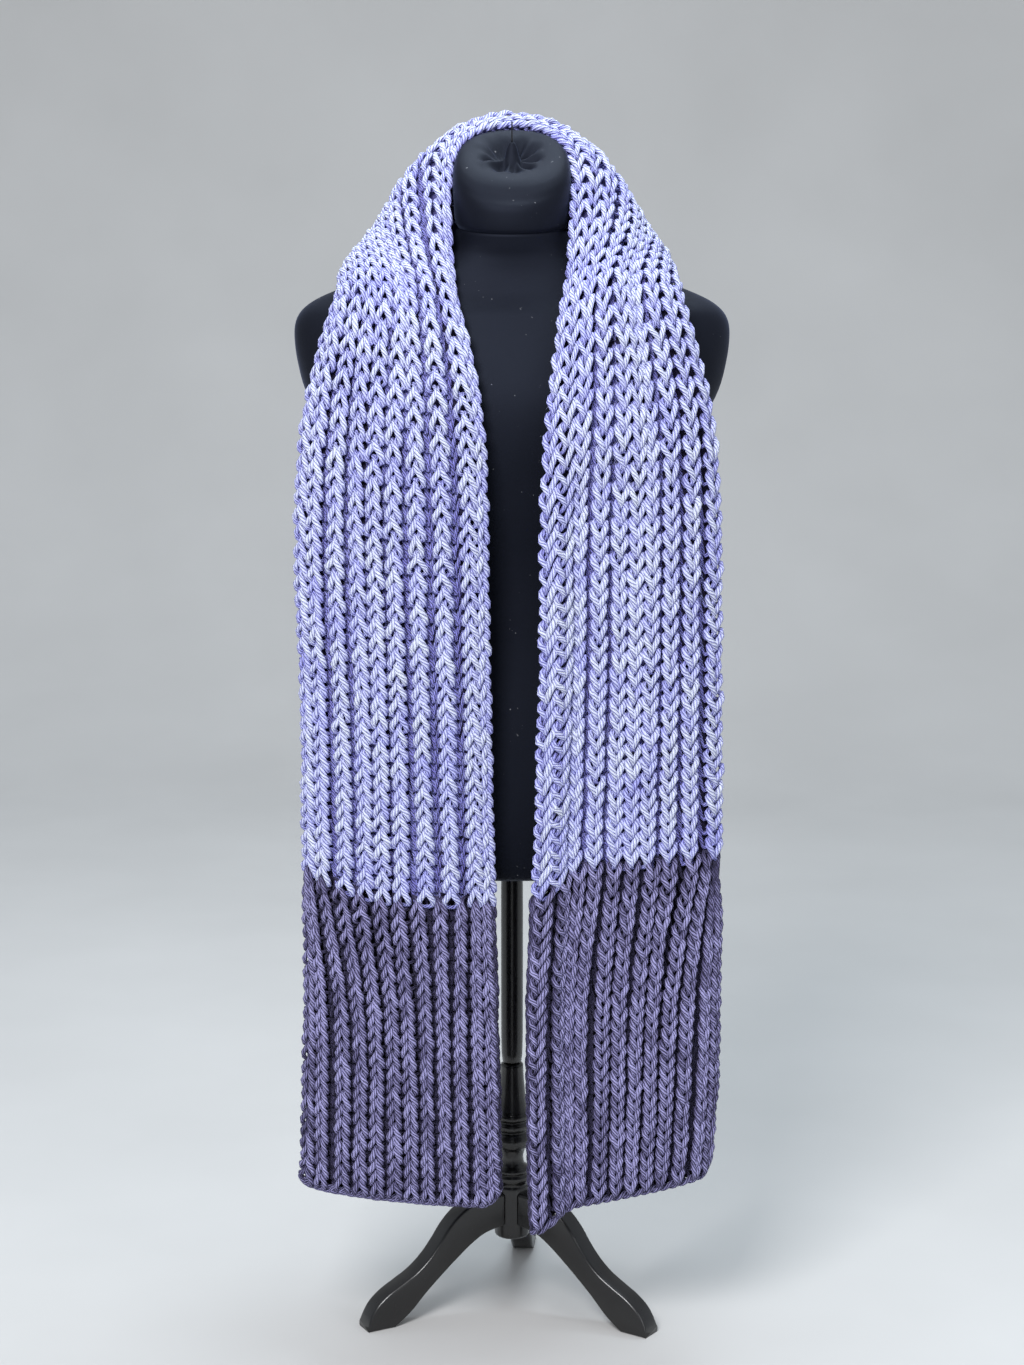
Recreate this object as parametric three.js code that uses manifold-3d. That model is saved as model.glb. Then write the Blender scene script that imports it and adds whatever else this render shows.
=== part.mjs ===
// Chunky rib-knit scarf draped behind the neck of a limbless dress form on a
// turned three-legged stand. Millimetres, +Z up, the front faces -Y.
// The axis of the stand is x = 0, y = 0 until the last lines, which centre
// the whole object on its footprint.
import * as THREE from 'three';
import { mergeVertices } from 'three/addons/utils/BufferGeometryUtils.js';
import Module from 'manifold-3d';

const wasm = await Module();
wasm.setup();

// ---------------------------------------------------------------- sizes, mm
const WALL = 11;            // rib knit of 6.5 mm yarn: two layers of yarn
const EDGE_ROUND = 2.5;     // how far a selvage stands past the last wale
const SEAM_GAP = 0.3;       // clearance where two pieces meet
const ACROSS = 14;          // facets across the scarf
const STEP_NECK = 17;       // facet length along the scarf behind the neck
const STEP_FRONT = 27;      // facet length along the hanging fronts
const NECK_HALF = 195;      // the neck stretch reaches this far each way
const LILAC_LEFT = 803;     // the dark yarn starts this far from the middle
const LILAC_RIGHT = 767;    // on each side
const FLAT_IN = 2.6;        // how flat the section stays towards its neck edge
const FLAT_OUT = 3.2;       // and towards its outer edge
const LAG_START = 150;      // the courses start to bow this far from the middle
const LAG_FULL = 520;       // bow fully from here on
const LAG_FADE = 230;       // and straighten again over the last stretch
const TUCK_ACROSS = 0.2;    // share of the width that the tuck takes

// The scarf is worked out from sections across it. in* is the edge next to
// the neck, out* the other edge; crown is how far the middle stands out from
// the straight line between them; roll is how far the neck edge turns out,
// tuck how far it turns down towards the neck.
// Sections run from one hem over the neck to the other hem.
const SECTIONS = [
  // name              inX   inY    inZ   outX  outY   outZ  crown roll tuck
  ['left hem',          -9, -124,   143, -196, -108,   157,   13,   0,   0],
  ['left shin',        -11, -124,   243, -193, -108,   251,   13,   0,   0],
  ['left knee',      -13.7, -123,   338, -190, -106,   345,   14,   0,   0],
  ['left thigh',     -16.3, -123,   432, -189, -105,   439,   14,   0,   0],
  ['left hip',       -19.5, -122,   600, -190, -102,   607,   15,   0,   0],
  ['left waist',       -22, -122,   760, -193,  -96,   770,   18,   0,   0],
  ['left chest',     -24.7, -120,   841, -186,  -84,   860,   20,   0,   0],
  ['left collarbone',  -33, -107,   901, -172,  -67,   922,   21,   0,   0],
  ['left shoulder',    -46,  -84,   950, -157,  -47,   967,   21,   0,   0],
  ['left neck base',   -57,  -52,  1000, -151,    0,   990,   21,   0,   0],
  ['left neck',        -64,  -22,  1056, -141,   38,   987,   18,   0,   4],
  ['left nape',        -67,    8,  1105, -118,   70,   978,   17,   0,  13],
  ['left back',        -43,   40,  1138,  -50,   96,   961,   16,   0,  20],
  ['middle',             0,   53,  1151,    0,  101,   956,   15,   0,  25],
  ['right back',        43,   40,  1138,   50,   96,   961,   16,   0,  20],
  ['right nape',        65,    9,  1106,  116,   70,   978,   17,   0,  12],
  ['right neck',        61,  -22,  1056,  137,   38,   987,   20,   0,   3],
  ['right neck base',   52,  -54,  1000,  146,    0,   989,   21,   0,   0],
  ['right shoulder',    42,  -84,   950,  152,  -48,   967,   22,   0,   0],
  ['right collarbone',  34, -108,   897,  166,  -69,   915,   22,   0,   0],
  ['right chest',       27, -121,   850,  178,  -83,   862,   21,   4,   0],
  ['right waist',       23, -123,   780,  184,  -94,   788,   18,  12,   0],
  ['right hip',         22, -123,   640,  186, -102,   645,   16,  17,   0],
  ['right thigh',       16, -123,   440,  188, -106,   448,   15,  18,   0],
  ['right knee',        12, -124,   343,  189, -107,   352,   14,  18,   0],
  ['right shin',        13, -124,   245,  188, -108,   258,   14,  18,   0],
  ['right hem',         15, -124,   139,  181, -108,   168,   13,  17,   0],
].map(([name, inX, inY, inZ, outX, outY, outZ, crown, roll, tuck]) =>
  ({ name, inX, inY, inZ, outX, outY, outZ, crown, roll, tuck }));

// Courses bow: on the left front the outer edge is drawn up, on the right
// front the rolled neck edge hangs down.
const LAG = {
  left:  { from: 0.56, to: 1.0, rise: 22, power: 1.5, atHem: 0.1 },
  right: { from: 0.27, to: 0.0, rise: -30, power: 1.25, atHem: 0.6 },
};

// The largest folds: soft troughs (depth below 0) and ridges along the wales.
// u is the place across, 0 at the neck edge; s is mm along from the middle.
const FOLDS = [
  { name: 'left shoulder trough',  u: 0.47, drift: -0.10, s0: -120, s1: -420, depth: -5, width: 0.13 },
  { name: 'left outer trough',     u: 0.72, drift: -0.03, s0: -230, s1: -560, depth: -3, width: 0.10 },
  { name: 'left hem wave',         u: 0.36, drift:  0.05, s0: -700, s1: -1010, depth: 3, width: 0.16 },
  { name: 'right shoulder ridge',  u: 0.36, drift:  0.06, s0:  90, s1: 450, depth: 5, width: 0.12 },
  { name: 'right shoulder trough', u: 0.56, drift:  0.04, s0: 130, s1: 520, depth: -6, width: 0.10 },
  { name: 'right hem wave',        u: 0.66, drift: -0.06, s0: 760, s1: 1010, depth: -3, width: 0.15 },
  { name: 'nape ridge',            u: 0.22, drift:  0.02, s0: -100, s1: 110, depth: 4, width: 0.12 },
];

// Horizontal sections of the padded body. half is across, front and back are
// depths from its own centre line, round is the section's squareness, cy the
// centre's shift, tilt leans the section forward in degrees.
const BODY = [
  // z     half  front back  round cy   tilt
  [441.5,  146,  88,  96,  2.2,   0,   0],
  [446,    155,  94, 104,  2.2,   0,   0],
  [462,    163,  99, 112,  2.2,   0,   0],
  [500,    168, 102, 118,  2.2,   0,   0],
  [560,    163, 100, 117,  2.2,   0,   0],
  [620,    147,  93, 105,  2.2,   0,   0],
  [675,    128,  88,  91,  2.2,   0,   0],
  [725,    124,  89,  85,  2.2,   0,   0],
  [780,    136,  97,  89,  2.2,   0,   0],
  [825,    156, 102,  93,  2.15,  0,   0],
  [858,    176, 102,  94,  2.1,   0,   0],
  [885,    190,  98,  93,  2.1,   0,   0],
  [912,    197,  89,  91,  2.1,   0,   0],
  [934,  199.5,  80,  88,  2.1,   0,   0],
  [948,    198,  74,  85,  2.1,   0,   0],
  [958,    192,  70,  82,  2.1,   0,   0],
  [967,    180,  65,  78,  2.05,  1,   0],
  [976,    160,  61,  74,  2.0,   2,   0],
  [985,    136,  58,  70,  2.0,   2,   0],
  [994,    110,  56,  66,  2.0,   2,   1],
  [1003,    85,  54,  62,  2.0,   1,   2],
  [1012,    66,  52,  57,  2.0,  -1,   3],
  [1021,    55,  51,  53,  2.0,  -4,   5],
  [1033,  49.5, 49.5, 49.5, 2.0, -8,   7],
].map(([z, half, front, back, round, cy, tilt]) => ({ z, half, front, back, round, cy, tilt }));

// The domed cap of the neck, leaning forward, with the gathered knot on top.
const CAP = [
  [1033.4, 49.5, 49.5, 49.5, 2, -8,    7],
  [1038.5, 51.8, 51.8, 51.8, 2, -8.5,  8],
  [1056,   53.0, 52.5, 52.5, 2, -9.5, 14],
  [1072,   53.6, 53.0, 53.0, 2, -10,  23],
  [1082,   52.6, 52.5, 52.5, 2,  -9.5, 30],
  [1088.5, 49.5, 49.5, 49.5, 2,  -9,  33],
  [1093,   43.5, 43.5, 43.5, 2,  -8.5, 34],
  [1094.5, 30.0, 30.0, 30.0, 2,  -8.5, 34],
  [1093,   14.0, 14.0, 14.0, 2,  -8,  30],
  [1096,    7.0,  7.0,  7.0, 2,  -7,  20],
  [1103,    4.6,  4.6,  4.6, 2,  -6,  10],
  [1108,    2.6,  2.6,  2.6, 2,  -6,   0],
].map(([z, half, front, back, round, cy, tilt]) => ({ z, half, front, back, round, cy, tilt }));

const NECK_Y = -8;          // the neck's axis
const BODY_FACETS = 36;
const PIN = { r: 0.8, y: -6, from: 1108.4, to: 1127 };

// Stand
const POLE_R = 10.5;
const POLE_LOW = 240.3;
const POST_TOP = 240;
const POST_LOW = 66;
const POST_FACETS = 24;
const POST_PROFILE = [ // radius, z
  [14.5, 66], [16.6, 68], [17, 72], [17, 116], [15.4, 119], [15.6, 121],
  [18, 124], [18, 128], [15.8, 130], [17.6, 132.5], [17, 135.5], [12, 138.5],
  [10.6, 146], [12.6, 154], [16.6, 157.5], [18.2, 163.5], [16.6, 169.5],
  [13.4, 172], [17.4, 176], [17.4, 180], [14.2, 182.5], [17.6, 186],
  [17.6, 189.5], [15.6, 192], [13.2, 206], [11.6, 222], [10.9, 232], [10.9, 240],
];
const LEG_THICK = 22;
const LEG_TURN = [         // name, direction of the leg in degrees from +X
  ['leg_left', 208],
  ['leg_right', 326],
  ['leg_back', 85],
];
const LEG_TOP = [          // distance from the axis, z: from the drum to the toe
  [12, 113], [30, 112], [48, 108], [62, 100], [74, 88], [84, 74], [95, 61],
  [108, 50], [123, 41.5], [137, 34], [149, 24.5], [156, 14], [159, 6], [159, 0],
];
const LEG_UNDER = [        // and back from the heel of the foot to the drum
  [131, 0], [124, 4.5], [113, 13], [98, 28], [81, 43], [64, 57], [48, 69],
  [34, 76.5], [12, 81],
];

const COLOURS = {
  lilac: 0x9ea3e0, dark: 0x5d5a86, jersey: 0x15161a, paint: 0x100f10, steel: 0x2a2a2c,
};

// ------------------------------------------------------------- the drape
const KEYS = ['inX', 'inY', 'inZ', 'outX', 'outY', 'outZ', 'crown', 'roll', 'tuck'];
const middle = SECTIONS.findIndex((r) => r.name === 'middle');
const knots = [0];
for (let i = 1; i < SECTIONS.length; i++) {
  const a = SECTIONS[i - 1], b = SECTIONS[i];
  const inner = Math.hypot(b.inX - a.inX, b.inY - a.inY, b.inZ - a.inZ);
  const outer = Math.hypot(b.outX - a.outX, b.outY - a.outY, b.outZ - a.outZ);
  knots.push(knots[i - 1] + (inner + outer) / 2);
}
const zero = knots[middle];
for (let i = 0; i < knots.length; i++) knots[i] -= zero;
const S_LOW = knots[0], S_HIGH = knots[knots.length - 1];

function slope(key, i) {
  const n = SECTIONS.length;
  const a = Math.max(i - 1, 0), b = Math.min(i + 1, n - 1);
  return (SECTIONS[b][key] - SECTIONS[a][key]) / (knots[b] - knots[a]);
}
function section(s) {
  let i = 0;
  while (i < knots.length - 2 && s > knots[i + 1]) i++;
  const h = knots[i + 1] - knots[i];
  const t = (s - knots[i]) / h;
  const row = {};
  for (const key of KEYS) {
    const p = SECTIONS[i][key], q = SECTIONS[i + 1][key];
    const mp = slope(key, i) * h, mq = slope(key, i + 1) * h;
    if (t < 0) row[key] = p + mp * t;
    else if (t > 1) row[key] = q + mq * (t - 1);
    else {
      row[key] = (2 * t ** 3 - 3 * t ** 2 + 1) * p + (t ** 3 - 2 * t ** 2 + t) * mp
        + (3 * t ** 2 - 2 * t ** 3) * q + (t ** 3 - t ** 2) * mq;
    }
  }
  return row;
}
const step01 = (x) => { const c = Math.min(Math.max(x, 0), 1); return c * c * (3 - 2 * c); };
function bump(u) {
  const x = 2 * Math.min(Math.max(u, 0), 1) - 1;
  return x < 0 ? 1 - (-x) ** FLAT_IN : 1 - x ** FLAT_OUT;
}
function lag(u, s) {
  const l = s < 0 ? LAG.left : LAG.right;
  const x = Math.min(Math.max((u - l.from) / (l.to - l.from), 0), 1);
  const hem = Math.abs(s < 0 ? S_LOW : S_HIGH);
  const grow = step01((Math.abs(s) - LAG_START) / (LAG_FULL - LAG_START))
    * (1 - (1 - l.atHem) * step01((Math.abs(s) - hem + LAG_FADE) / LAG_FADE));
  return -Math.sign(s) * l.rise * x ** l.power * grow;
}
function foldDepth(u, s) {
  let d = 0;
  for (const f of FOLDS) {
    const k = (s - f.s0) / (f.s1 - f.s0);
    if (k <= 0 || k >= 1) continue;
    const x = (u - f.u - f.drift * k) / f.width;
    d += f.depth * Math.sin(Math.PI * k) ** 2 * Math.exp(-x * x * 2.5);
  }
  return d;
}
function sheetPoint(u, s0) {
  const s = s0 + lag(u, s0);
  const r = section(s), a = section(s - 1), b = section(s + 1);
  const I = new THREE.Vector3(r.inX, r.inY, r.inZ);
  const O = new THREE.Vector3(r.outX, r.outY, r.outZ);
  const along = new THREE.Vector3(b.inX + b.outX - a.inX - a.outX,
    b.inY + b.outY - a.inY - a.outY, b.inZ + b.outZ - a.inZ - a.outZ);
  const across = O.clone().sub(I);
  const out = along.cross(across).normalize();
  const turn = r.roll * step01((0.20 - u) / 0.12);
  const inward = new THREE.Vector3(-I.x, NECK_Y - I.y, 0).normalize().multiplyScalar(0.6);
  inward.z = -0.8;
  const tuck = r.tuck * Math.max(0, (TUCK_ACROSS - u) / TUCK_ACROSS) ** 1.6;
  return I.lerp(O, u).addScaledVector(out, r.crown * bump(u) + turn + foldDepth(u, s0))
    .addScaledVector(inward, tuck);
}
function sheetNormal(u, s) {
  const e = 0.004;
  const u0 = Math.max(u - e, 0), u1 = Math.min(u + e, 1);
  const across = sheetPoint(u1, s).sub(sheetPoint(u0, s));
  const along = sheetPoint(u, s + 1.5).sub(sheetPoint(u, s - 1.5));
  return along.cross(across).normalize();
}

// -------------------------------------------------------------- mesh makers
function solid(points, triangles) {
  const g = new THREE.BufferGeometry();
  g.setAttribute('position', new THREE.Float32BufferAttribute(points.flatMap((p) => [p.x, p.y, p.z]), 3));
  g.setIndex(triangles.flat());
  let v = 0;
  for (const [a, b, c] of triangles) v += points[a].dot(points[b].clone().cross(points[c]));
  if (v < 0) g.setIndex(triangles.flatMap(([a, b, c]) => [a, c, b]));
  g.computeVertexNormals();
  return g;
}
// Closed rings joined one after the other; the ends are closed by `ends`.
function tubeOf(rings, ends) {
  const n = rings[0].length, points = rings.flat(), tris = [];
  for (let i = 0; i + 1 < rings.length; i++) {
    for (let j = 0; j < n; j++) {
      const a = i * n + j, b = i * n + (j + 1) % n;
      tris.push([a, b, a + n], [b, b + n, a + n]);
    }
  }
  ends(points, tris, n, rings.length);
  return solid(points, tris);
}
function fanEnds(points, tris, n, count) {
  for (const [start, flip] of [[0, true], [(count - 1) * n, false]]) {
    const c = new THREE.Vector3();
    for (let j = 0; j < n; j++) c.addScaledVector(points[start + j], 1 / n);
    const k = points.push(c) - 1;
    for (let j = 0; j < n; j++) {
      const a = start + j, b = start + (j + 1) % n;
      tris.push(flip ? [b, a, k] : [a, b, k]);
    }
  }
}
function clothStretch(sFrom, sTo, step) {
  const count = Math.max(2, Math.round((sTo - sFrom) / step));
  const rings = [];
  for (let i = 0; i <= count; i++) {
    const s = sFrom + (sTo - sFrom) * i / count;
    const front = [], back = [];
    for (let j = 0; j <= ACROSS; j++) {
      const u = j / ACROSS;
      const p = sheetPoint(u, s), n = sheetNormal(u, s);
      const half = (j === 0 || j === ACROSS) ? WALL * 0.36 : WALL / 2;
      front.push(p.clone().addScaledVector(n, half));
      back.push(p.clone().addScaledVector(n, -half));
    }
    const rim = (u, v) => sheetPoint(u, s).addScaledVector(
      sheetPoint(u, s).sub(sheetPoint(v, s)).normalize(), EDGE_ROUND);
    rings.push([...front, rim(1, 0.97), ...back.reverse(), rim(0, 0.03)]);
  }
  return tubeOf(rings, (points, tris, n, total) => {
    const m = ACROSS + 1;
    for (const [base, flip] of [[0, true], [(total - 1) * n, false]]) {
      const tri = (a, b, c) => tris.push(flip ? [base + b, base + a, base + c] : [base + a, base + b, base + c]);
      const backAt = (j) => 2 * m - j;      // back face runs the other way
      for (let j = 0; j < ACROSS; j++) {
        tri(j, j + 1, backAt(j));
        tri(j + 1, backAt(j + 1), backAt(j));
      }
      tri(ACROSS, m, backAt(ACROSS));
      tri(0, backAt(0), 2 * m + 1);
    }
  });
}
function bodyRing(r, facets) {
  const ring = [], lean = THREE.MathUtils.degToRad(r.tilt);
  for (let j = 0; j < facets; j++) {
    const a = 2 * Math.PI * j / facets, c = Math.cos(a), s = Math.sin(a);
    const x = r.half * Math.sign(c) * Math.abs(c) ** (2 / r.round);
    const y = (s < 0 ? r.front : r.back) * Math.sign(s) * Math.abs(s) ** (2 / r.round);
    ring.push(new THREE.Vector3(x, r.cy + y * Math.cos(lean), r.z + y * Math.sin(lean)));
  }
  return ring;
}
function toManifold(geometry) {
  const g = geometry.clone();
  g.deleteAttribute('normal');
  g.deleteAttribute('uv');
  const m = mergeVertices(g, 1e-4);
  return new wasm.Manifold(new wasm.Mesh({
    numProp: 3,
    vertProperties: new Float32Array(m.attributes.position.array),
    triVerts: new Uint32Array(m.index.array),
  }));
}
function fromManifold(m) {
  const mesh = m.getMesh(), g = new THREE.BufferGeometry();
  g.setAttribute('position', new THREE.BufferAttribute(new Float32Array(mesh.vertProperties), 3));
  g.setIndex(new THREE.BufferAttribute(new Uint32Array(mesh.triVerts), 1));
  g.computeVertexNormals();
  return g;
}
function finish(color, roughness, metalness = 0) {
  return new THREE.MeshStandardMaterial({ color, roughness, metalness });
}

// ---------------------------------------------------------------- the object
const object = new THREE.Group();
function add(name, geometry, material) {
  const mesh = new THREE.Mesh(geometry, material);
  mesh.name = name;
  object.add(mesh);
  return mesh;
}

// scarf: one stretch behind the neck, a lilac front each side, a dark end each side
const G = SEAM_GAP / 2;
add('scarf_neck', clothStretch(-NECK_HALF + G, NECK_HALF - G, STEP_NECK), finish(COLOURS.lilac, 0.95));
add('scarf_left_front', clothStretch(-LILAC_LEFT + G, -NECK_HALF - G, STEP_FRONT), finish(COLOURS.lilac, 0.95));
add('scarf_right_front', clothStretch(NECK_HALF + G, LILAC_RIGHT - G, STEP_FRONT), finish(COLOURS.lilac, 0.95));
add('scarf_left_end', clothStretch(S_LOW, -LILAC_LEFT - G, STEP_FRONT), finish(COLOURS.dark, 0.95));
add('scarf_right_end', clothStretch(LILAC_RIGHT + G, S_HIGH, STEP_FRONT), finish(COLOURS.dark, 0.95));

// dress form
add('form_body', tubeOf(BODY.map((r) => bodyRing(r, BODY_FACETS)), fanEnds), finish(COLOURS.jersey, 0.7));
add('form_neck_cap', tubeOf(CAP.map((r) => bodyRing(r, BODY_FACETS)), fanEnds), finish(COLOURS.jersey, 0.6));
const pin = new THREE.CylinderGeometry(PIN.r, PIN.r, PIN.to - PIN.from, 8);
pin.rotateX(Math.PI / 2);
add('cap_pin', pin, finish(COLOURS.steel, 0.4, 0.6)).position.set(0, PIN.y, (PIN.from + PIN.to) / 2);

// stand
const poleTop = BODY[0].z - SEAM_GAP;
const pole = new THREE.CylinderGeometry(POLE_R, POLE_R, poleTop - POLE_LOW, POST_FACETS);
pole.rotateX(Math.PI / 2);
add('stand_pole', pole, finish(COLOURS.paint, 0.35)).position.set(0, 0, (poleTop + POLE_LOW) / 2);

const outline = [new THREE.Vector2(0, POST_LOW), ...POST_PROFILE.map(([r, z]) => new THREE.Vector2(r, z)),
  new THREE.Vector2(0, POST_TOP)];
const post = new THREE.LatheGeometry(outline, POST_FACETS);
post.rotateX(Math.PI / 2);
add('stand_post', post, finish(COLOURS.paint, 0.35));

const plank = new THREE.Shape([...LEG_TOP, ...LEG_UNDER].map(([r, z]) => new THREE.Vector2(r, z)));
const drumCut = new THREE.CylinderGeometry(17 + SEAM_GAP, 17 + SEAM_GAP, 90, 48);
drumCut.rotateX(Math.PI / 2);
drumCut.translate(0, 0, 95);
for (const [name, degrees] of LEG_TURN) {
  const g = new THREE.ExtrudeGeometry(plank, { depth: LEG_THICK, bevelEnabled: false, steps: 1 });
  g.translate(0, 0, -LEG_THICK / 2);
  g.rotateX(Math.PI / 2);
  const cut = fromManifold(toManifold(g).subtract(toManifold(drumCut)));
  add(name, cut, finish(COLOURS.paint, 0.35)).rotation.z = THREE.MathUtils.degToRad(degrees);
}

// centre the object on its own footprint, feet on z = 0
object.updateMatrixWorld(true);
const box = new THREE.Box3().setFromObject(object, true);
object.position.set(-(box.min.x + box.max.x) / 2, -(box.min.y + box.max.y) / 2, 0);
object.updateMatrixWorld(true);

export default object;
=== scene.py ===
import math

import bpy
import numpy as np
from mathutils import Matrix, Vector


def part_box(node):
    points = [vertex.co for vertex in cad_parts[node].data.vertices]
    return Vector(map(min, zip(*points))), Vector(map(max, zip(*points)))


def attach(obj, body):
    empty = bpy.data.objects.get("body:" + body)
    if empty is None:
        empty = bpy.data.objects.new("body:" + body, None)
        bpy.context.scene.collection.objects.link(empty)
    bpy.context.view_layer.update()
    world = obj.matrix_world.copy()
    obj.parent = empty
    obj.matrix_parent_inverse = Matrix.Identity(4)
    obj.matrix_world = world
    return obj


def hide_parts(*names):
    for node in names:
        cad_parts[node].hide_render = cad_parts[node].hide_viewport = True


# The looks of a chunky rib-knit scarf on a black dress form. Metres, and the
# scarf's own tables are in millimetres, as in the part's source.
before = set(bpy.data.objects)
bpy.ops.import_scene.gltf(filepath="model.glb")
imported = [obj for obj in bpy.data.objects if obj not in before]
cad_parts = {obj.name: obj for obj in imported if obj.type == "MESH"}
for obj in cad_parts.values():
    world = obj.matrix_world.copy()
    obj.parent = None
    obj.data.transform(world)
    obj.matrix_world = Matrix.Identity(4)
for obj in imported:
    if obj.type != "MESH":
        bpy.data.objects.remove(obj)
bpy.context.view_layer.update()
MM = 0.001
rng = np.random.default_rng(7)

post_low, post_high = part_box("stand_post")
AXIS = np.array([(post_low.x + post_high.x) / 2, (post_low.y + post_high.y) / 2, 0.0])

# ------------------------------------------------------------------ camera
PITCH = math.radians(10.2)
cam_data = bpy.data.cameras.new("camera")
cam_data.sensor_width = 36.0
cam_data.lens = 2800.0 / 1365.0 * 36.0
cam_data.clip_end = 60.0
camera = bpy.data.objects.new("camera", cam_data)
bpy.context.scene.collection.objects.link(camera)
camera.location = (AXIS[0], AXIS[1] - 2.585, 1.076)
camera.rotation_euler = (math.pi / 2 - PITCH, 0.0, 0.0)
bpy.context.scene.camera = camera

# ------------------------------------------------------- the scarf's drape
SECTIONS = [
    # inX   inY    inZ   outX  outY   outZ  crown roll tuck
    (-9, -124, 143, -196, -108, 157, 13, 0, 0),        # left hem
    (-11, -124, 243, -193, -108, 251, 13, 0, 0),
    (-13.7, -123, 338, -190, -106, 345, 14, 0, 0),
    (-16.3, -123, 432, -189, -105, 439, 14, 0, 0),
    (-19.5, -122, 600, -190, -102, 607, 15, 0, 0),
    (-22, -122, 760, -193, -96, 770, 18, 0, 0),
    (-24.7, -120, 841, -186, -84, 860, 20, 0, 0),      # left chest
    (-33, -107, 901, -172, -67, 922, 21, 0, 0),
    (-46, -84, 950, -157, -47, 967, 21, 0, 0),         # left shoulder
    (-57, -52, 1000, -151, 0, 990, 21, 0, 0),
    (-64, -22, 1056, -141, 38, 987, 18, 0, 4),
    (-67, 8, 1105, -118, 70, 978, 17, 0, 13),
    (-43, 40, 1138, -50, 96, 961, 16, 0, 20),
    (0, 53, 1151, 0, 101, 956, 15, 0, 25),             # middle of the back neck
    (43, 40, 1138, 50, 96, 961, 16, 0, 20),
    (65, 9, 1106, 116, 70, 978, 17, 0, 12),
    (61, -22, 1056, 137, 38, 987, 20, 0, 3),
    (52, -54, 1000, 146, 0, 989, 21, 0, 0),
    (42, -84, 950, 152, -48, 967, 22, 0, 0),           # right shoulder
    (34, -108, 897, 166, -69, 915, 22, 0, 0),
    (27, -121, 850, 178, -83, 862, 21, 4, 0),          # right chest
    (23, -123, 780, 184, -94, 788, 18, 12, 0),
    (22, -123, 640, 186, -102, 645, 16, 17, 0),
    (16, -123, 440, 188, -106, 448, 15, 18, 0),
    (12, -124, 343, 189, -107, 352, 14, 18, 0),
    (13, -124, 245, 188, -108, 258, 14, 18, 0),
    (15, -124, 139, 181, -108, 168, 13, 17, 0),        # right hem
]
MIDDLE = 13
FLAT_IN, FLAT_OUT = 2.6, 3.2
LAG_START, LAG_FULL, LAG_FADE = 150.0, 520.0, 230.0
TUCK_ACROSS, NECK_Y = 0.2, -8.0
LAG_LEFT = dict(start=0.56, end=1.0, rise=22.0, power=1.5, hem=0.1)
LAG_RIGHT = dict(start=0.27, end=0.0, rise=-30.0, power=1.25, hem=0.6)
FOLDS = [
    # u, drift, s0, s1, depth, width
    (0.47, -0.10, -120, -420, -5, 0.13),
    (0.72, -0.03, -230, -560, -3, 0.10),
    (0.36, 0.05, -700, -1010, 3, 0.16),
    (0.36, 0.06, 90, 450, 5, 0.12),
    (0.56, 0.04, 130, 520, -6, 0.10),
    (0.66, -0.06, 760, 1010, -3, 0.15),
    (0.22, 0.02, -100, 110, 4, 0.12),
]
ROWS_TABLE = np.array(SECTIONS, float)
_in, _out = ROWS_TABLE[:, 0:3], ROWS_TABLE[:, 3:6]
_step = (np.linalg.norm(np.diff(_in, axis=0), axis=1) + np.linalg.norm(np.diff(_out, axis=0), axis=1)) / 2
KNOTS = np.concatenate([[0.0], np.cumsum(_step)])
KNOTS -= KNOTS[MIDDLE]
S_LOW, S_HIGH = KNOTS[0], KNOTS[-1]
_hi = np.minimum(np.arange(len(KNOTS)) + 1, len(KNOTS) - 1)
_lo = np.maximum(np.arange(len(KNOTS)) - 1, 0)
SLOPES = (ROWS_TABLE[_hi] - ROWS_TABLE[_lo]) / (KNOTS[_hi] - KNOTS[_lo])[:, None]


def section(s):
    i = np.clip(np.searchsorted(KNOTS, s, side="left") - 1, 0, len(KNOTS) - 2)
    h = (KNOTS[i + 1] - KNOTS[i])[..., None]
    t = ((s - KNOTS[i])[..., None]) / h
    p, q, mp, mq = ROWS_TABLE[i], ROWS_TABLE[i + 1], SLOPES[i] * h, SLOPES[i + 1] * h
    mid = (2 * t**3 - 3 * t**2 + 1) * p + (t**3 - 2 * t**2 + t) * mp + (3 * t**2 - 2 * t**3) * q + (t**3 - t**2) * mq
    return np.where(t < 0, p + mp * t, np.where(t > 1, q + mq * (t - 1), mid))


def step01(x):
    c = np.clip(x, 0, 1)
    return c * c * (3 - 2 * c)


def lag(u, s):
    out = np.zeros(np.broadcast(u, s).shape)
    for side, l, hem in ((-1, LAG_LEFT, abs(S_LOW)), (1, LAG_RIGHT, abs(S_HIGH))):
        x = np.clip((u - l["start"]) / (l["end"] - l["start"]), 0, 1)
        grow = step01((np.abs(s) - LAG_START) / (LAG_FULL - LAG_START)) * (
            1 - (1 - l["hem"]) * step01((np.abs(s) - hem + LAG_FADE) / LAG_FADE))
        out = np.where(np.sign(s) == side, -side * l["rise"] * x ** l["power"] * grow, out)
    return out


def unit(v):
    return v / np.maximum(np.linalg.norm(v, axis=-1, keepdims=True), 1e-12)


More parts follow.
